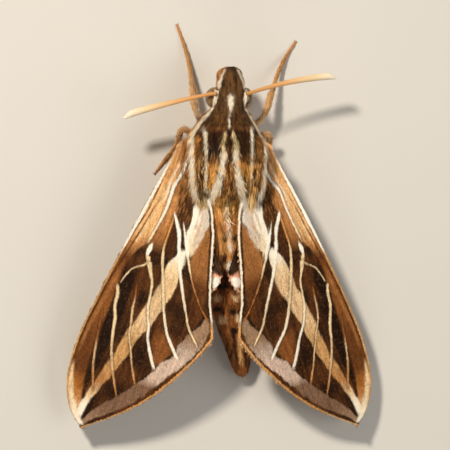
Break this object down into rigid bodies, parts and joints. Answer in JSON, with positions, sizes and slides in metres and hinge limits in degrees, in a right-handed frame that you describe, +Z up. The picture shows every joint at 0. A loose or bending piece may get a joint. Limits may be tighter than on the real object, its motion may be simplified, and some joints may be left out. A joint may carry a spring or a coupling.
{
  "type": "white-lined sphinx hawk moth, still life-size model",
  "caption": "Still, life-size hawk moth at rest: furry body, long folded forewings with pale veins and band, hindwings beneath, clubbed feelers, legs on the floor.",
  "frame": {"origin": "middle of the whole moth's box, on the floor that its feet stand on", "axes": "+Z up, the head points along -Y and the tail along +Y, the moth's left side is +X"},
  "size_m": [0.0384, 0.0502, 0.0111],
  "materials": {
    "head_hair": "short brown hair with white stripes",
    "thorax_hair": "long brown and orange-brown hair with white stripes",
    "abdomen_hair": "orange-brown hair, darker towards the tail",
    "forewing_scales": "matt brown scales with cream veins and a tan band",
    "hindwing_scales": "matt black scales with a rose band",
    "limb": "tan scales over a hard skin",
    "feeler": "pale tan, finely ringed",
    "eye": "dark olive-brown, glossy",
    "tongue": "brown, coiled"
  },
  "bodies": {
    "root": {"abdomen_1": "abdomen_hair", "abdomen_2": "abdomen_hair", "abdomen_3": "abdomen_hair", "abdomen_4": "abdomen_hair", "abdomen_5": "abdomen_hair", "abdomen_6": "abdomen_hair", "antenna_left": "feeler", "antenna_right": "feeler", "collar": "head_hair", "eye_left": "eye", "eye_right": "eye", "foreleg_left": "limb", "foreleg_right": "limb", "forewing_left": "forewing_scales", "forewing_right": "forewing_scales", "head": "head_hair", "hindleg_left": "limb", "hindleg_right": "limb", "hindwing_left": "hindwing_scales", "hindwing_right": "hindwing_scales", "midleg_left": "limb", "midleg_right": "limb", "palp_left": "head_hair", "palp_right": "head_hair", "tegula_left": "thorax_hair", "tegula_right": "thorax_hair", "thorax": "thorax_hair", "tongue": "tongue"}
  },
  "joints": []
}
